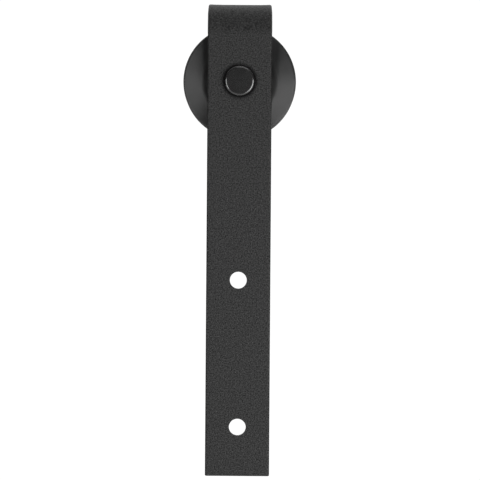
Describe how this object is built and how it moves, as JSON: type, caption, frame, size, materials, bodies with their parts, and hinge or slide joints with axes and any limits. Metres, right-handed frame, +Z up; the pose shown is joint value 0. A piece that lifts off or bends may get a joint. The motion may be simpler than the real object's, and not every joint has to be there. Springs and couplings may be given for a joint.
{
  "type": "sliding barn door hanger",
  "caption": "Bent flat-strap hanger with a grooved nylon wheel on a ball bearing, for a barn door that slides along a flat rail.",
  "frame": {"origin": "centre of the two door-bolt holes, on the strap's back face, which rests on the door", "axes": "+Z up along the strap towards the wheel, +Y from the room towards the door and wall along the bolts and the axle, +X to the right seen from the room, which is the way the door slides"},
  "size_m": [0.0705, 0.0587, 0.2949],
  "materials": {
    "strap_powder_coat": "matt black powder coat with a fine grain",
    "bolt_black": "satin black",
    "wheel_nylon": "satin moulded black nylon",
    "fastener_black": "black zinc plate",
    "zinc_steel": "bright zinc plate",
    "bearing_steel": "ground steel",
    "ball_steel": "polished steel",
    "shield_steel": "pressed sheet steel",
    "insert_nylon": "natural nylon"
  },
  "bodies": {
    "hanger": {"hanger_strap": "strap_powder_coat", "axle_bolt": "bolt_black", "front_spacer": "zinc_steel", "rear_spacer": "zinc_steel", "flat_washer": "fastener_black", "lock_nut": "fastener_black", "lock_nut_insert": "insert_nylon", "bearing_inner_ring": "bearing_steel"},
    "rolling_wheel": {"wheel": "wheel_nylon", "bearing_outer_ring": "bearing_steel", "bearing_front_shield": "shield_steel", "bearing_rear_shield": "shield_steel"},
    "ball_cage": {"cage_front_half": "shield_steel", "cage_rear_half": "shield_steel", "cage_rivets": "shield_steel"},
    "ball_1": {"bearing_ball_1": "ball_steel"},
    "ball_2": {"bearing_ball_2": "ball_steel"},
    "ball_3": {"bearing_ball_3": "ball_steel"},
    "ball_4": {"bearing_ball_4": "ball_steel"},
    "ball_5": {"bearing_ball_5": "ball_steel"},
    "ball_6": {"bearing_ball_6": "ball_steel"},
    "ball_7": {"bearing_ball_7": "ball_steel"},
    "ball_8": {"bearing_ball_8": "ball_steel"}
  },
  "joints": [
    {"name": "wheel_spin", "type": "hinge", "parent": "hanger", "child": "rolling_wheel", "pos_m": [0, 0.014, 0.16975], "axis": [0, 1, 0], "continuous": true},
    {"name": "cage_orbit", "type": "hinge", "parent": "hanger", "child": "ball_cage", "pos_m": [0, 0.014, 0.16975], "axis": [0, 1, 0], "continuous": true},
    {"name": "ball_1_roll", "type": "hinge", "parent": "ball_cage", "child": "ball_1", "pos_m": [0, 0.014, 0.17975], "axis": [0, 1, 0], "continuous": true},
    {"name": "ball_2_roll", "type": "hinge", "parent": "ball_cage", "child": "ball_2", "pos_m": [0.00707, 0.014, 0.17682], "axis": [0, 1, 0], "continuous": true},
    {"name": "ball_3_roll", "type": "hinge", "parent": "ball_cage", "child": "ball_3", "pos_m": [0.01, 0.014, 0.16975], "axis": [0, 1, 0], "continuous": true},
    {"name": "ball_4_roll", "type": "hinge", "parent": "ball_cage", "child": "ball_4", "pos_m": [0.00707, 0.014, 0.16268], "axis": [0, 1, 0], "continuous": true},
    {"name": "ball_5_roll", "type": "hinge", "parent": "ball_cage", "child": "ball_5", "pos_m": [0, 0.014, 0.15975], "axis": [0, 1, 0], "continuous": true},
    {"name": "ball_6_roll", "type": "hinge", "parent": "ball_cage", "child": "ball_6", "pos_m": [-0.00707, 0.014, 0.16268], "axis": [0, 1, 0], "continuous": true},
    {"name": "ball_7_roll", "type": "hinge", "parent": "ball_cage", "child": "ball_7", "pos_m": [-0.01, 0.014, 0.16975], "axis": [0, 1, 0], "continuous": true},
    {"name": "ball_8_roll", "type": "hinge", "parent": "ball_cage", "child": "ball_8", "pos_m": [-0.00707, 0.014, 0.17682], "axis": [0, 1, 0], "continuous": true}
  ],
  "couplings": [
    {"joint": "cage_orbit", "follows": "wheel_spin", "ratio": 0.61906},
    {"joint": "ball_1_roll", "follows": "wheel_spin", "ratio": 1.9807},
    {"joint": "ball_2_roll", "follows": "wheel_spin", "ratio": 1.9807},
    {"joint": "ball_3_roll", "follows": "wheel_spin", "ratio": 1.9807},
    {"joint": "ball_4_roll", "follows": "wheel_spin", "ratio": 1.9807},
    {"joint": "ball_5_roll", "follows": "wheel_spin", "ratio": 1.9807},
    {"joint": "ball_6_roll", "follows": "wheel_spin", "ratio": 1.9807},
    {"joint": "ball_7_roll", "follows": "wheel_spin", "ratio": 1.9807},
    {"joint": "ball_8_roll", "follows": "wheel_spin", "ratio": 1.9807}
  ]
}
